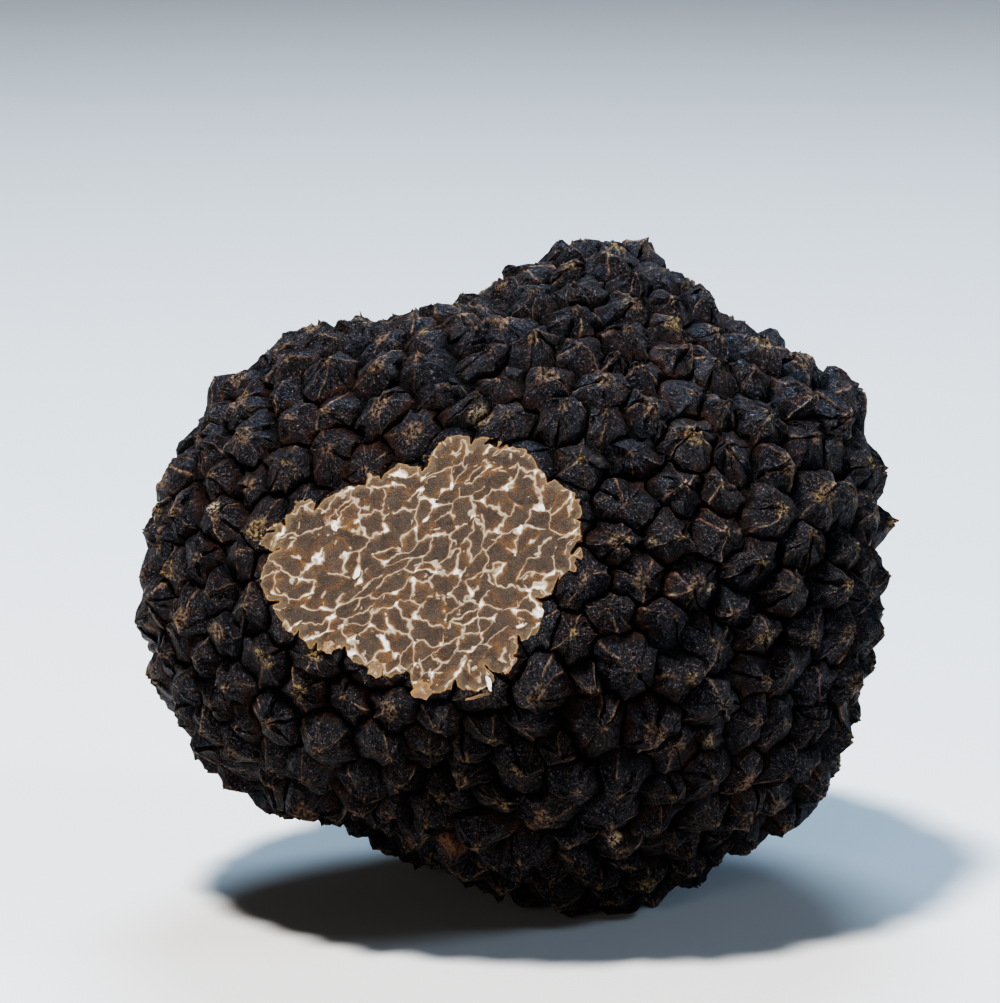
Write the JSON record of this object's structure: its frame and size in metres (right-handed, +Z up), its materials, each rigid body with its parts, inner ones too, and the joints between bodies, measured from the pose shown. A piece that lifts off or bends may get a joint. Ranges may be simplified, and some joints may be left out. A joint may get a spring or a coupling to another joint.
{
  "type": "autumn truffle",
  "caption": "Whole autumn truffle, a lumpy tuber covered in angular black warts, with one side sliced flat to show its marbled flesh.",
  "frame": {"origin": "middle of the bounding box's footprint, on the surface that the truffle rests on", "axes": "+Z up; +X along the truffle's longest way, with the crown towards +X; -Y is the side with the slice, which faces 14 degrees towards -X and 18 degrees up"},
  "size_m": [0.0709, 0.0633, 0.0615],
  "materials": {
    "skin": "matte",
    "flesh": "satin"
  },
  "bodies": {
    "root": {"truffle": "skin"}
  },
  "joints": []
}
